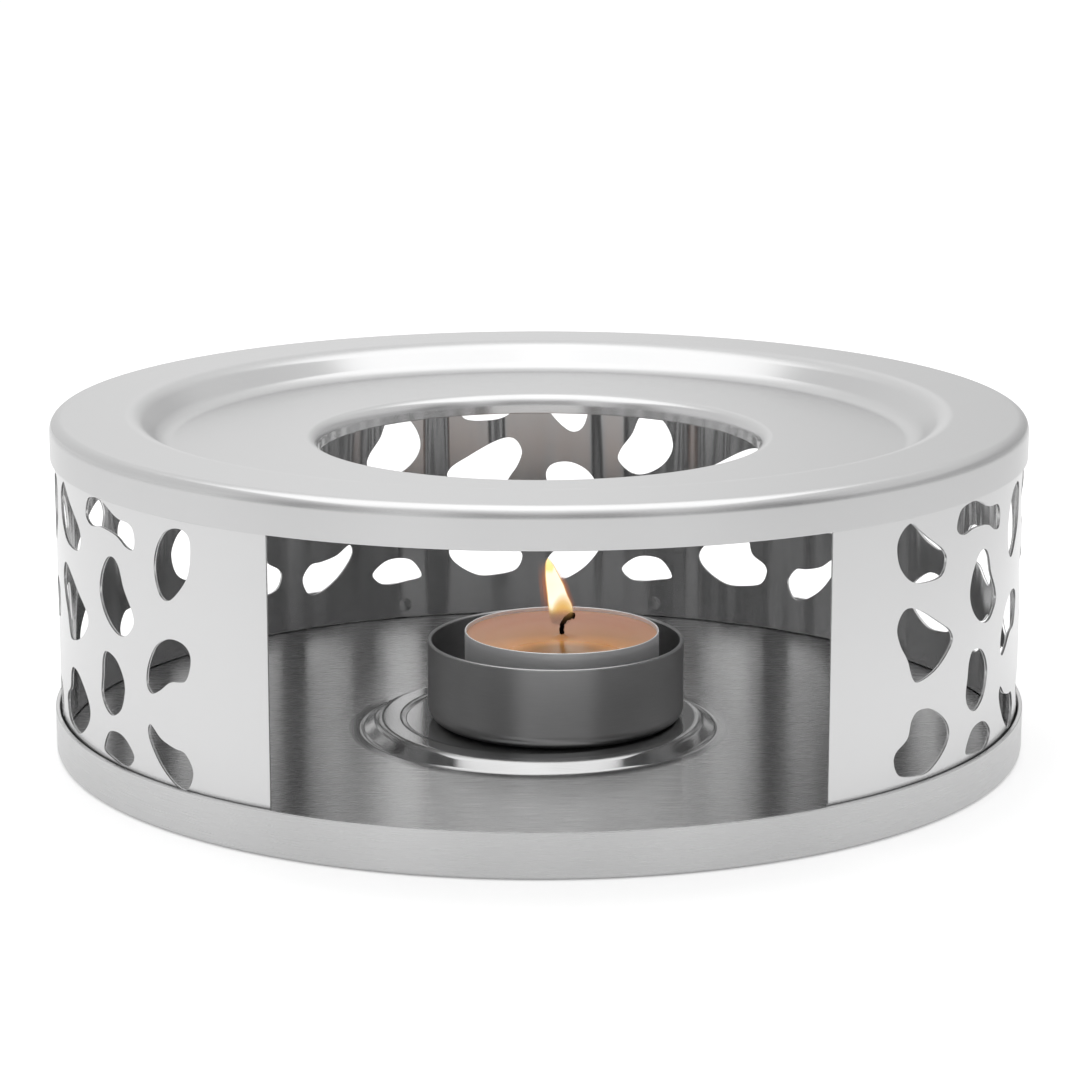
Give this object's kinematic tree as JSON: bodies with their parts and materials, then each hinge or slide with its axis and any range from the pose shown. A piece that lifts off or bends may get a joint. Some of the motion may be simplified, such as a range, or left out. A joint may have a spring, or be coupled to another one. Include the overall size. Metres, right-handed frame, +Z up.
{
  "type": "teapot warmer",
  "caption": "Round steel teapot warmer: a pebble-pierced band between a shallow tray and a ring-shaped top plate with a sunken seat, holding a lift-out candle cup and tealight.",
  "frame": {"origin": "centre of the tray's underside, on the table", "axes": "+Z up; the front opening faces -Y; +X to the right seen from the front"},
  "size_m": [0.1858, 0.1858, 0.064],
  "materials": {
    "brushed_steel": "fine brushed stainless sheet",
    "weld_steel": "dull spot weld",
    "dark_steel": "dark satin steel",
    "can_aluminium": "bright thin sheet",
    "candle_wax": "translucent paraffin wax",
    "tin_foot": "tinned sheet",
    "wick_cotton": "charred braided cotton"
  },
  "bodies": {
    "warmer": {"base_tray": "brushed_steel", "side_band": "brushed_steel", "top_plate": "brushed_steel", "base_spot_welds": "weld_steel", "top_spot_welds": "weld_steel"},
    "cup": {"candle_cup": "dark_steel"},
    "tealight": {"tealight_can": "can_aluminium", "tealight_wax": "candle_wax", "wick_sustainer": "tin_foot", "wick": "wick_cotton"}
  },
  "joints": [
    {"name": "candle_cup_lift", "type": "slide", "parent": "warmer", "child": "cup", "axis": [0, 0, 1], "range_m": [0, 0.07]},
    {"name": "tealight_lift", "type": "slide", "parent": "cup", "child": "tealight", "axis": [0, 0, 1], "range_m": [0, 0.07]}
  ]
}
